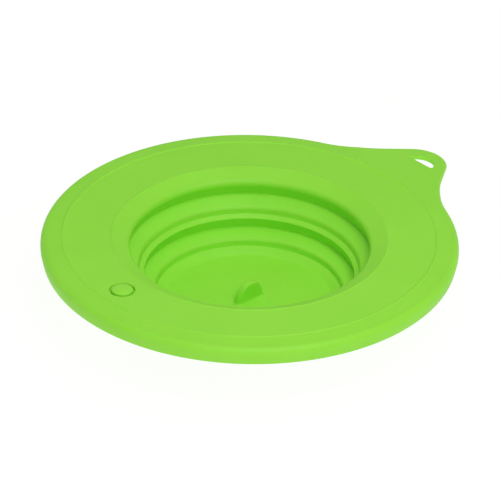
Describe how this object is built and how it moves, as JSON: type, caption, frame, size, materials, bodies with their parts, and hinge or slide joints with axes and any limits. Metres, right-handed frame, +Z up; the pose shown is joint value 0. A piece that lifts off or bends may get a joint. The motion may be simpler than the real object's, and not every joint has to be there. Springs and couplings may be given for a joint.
{
  "type": "collapsible lid",
  "caption": "Round silicone bowl lid with a wide flat rim, a folding well with a standing finger grip, a pull-up vent plug and a slotted hanging tab.",
  "frame": {"origin": "centre of the flat underside of the well's floor, which the lid stands on", "axes": "+Z up, out of the well's mouth; +X from the lid's axis towards the hanging tab; the vent plug is 176 degrees round from +X"},
  "size_m": [0.2953, 0.26, 0.0497],
  "materials": {
    "silicone_rim": "satin",
    "silicone_well": "satin",
    "silicone_fold": "satin",
    "silicone_plug": "satin"
  },
  "bodies": {
    "rim": {"rim_plate": "silicone_rim", "rim_skirt": "silicone_rim", "hang_tab": "silicone_rim", "well_collar": "silicone_well", "upper_fold": "silicone_fold"},
    "middle": {"middle_ring": "silicone_well", "lower_fold": "silicone_fold"},
    "base": {"base_ring": "silicone_well", "base_floor": "silicone_well", "grip_fin": "silicone_well"},
    "plug": {"vent_plug": "silicone_plug"}
  },
  "joints": [
    {"name": "upper_fold_turn", "type": "slide", "parent": "rim", "child": "middle", "axis": [0, 0, 1], "range_m": [0, 0.0116], "deforming": ["upper_fold"]},
    {"name": "lower_fold_turn", "type": "slide", "parent": "middle", "child": "base", "axis": [0, 0, 1], "range_m": [0, 0.0086], "deforming": ["lower_fold"]},
    {"name": "vent_plug_lift", "type": "slide", "parent": "rim", "child": "plug", "axis": [0, 0, 1], "range_m": [0, 0.003]}
  ]
}
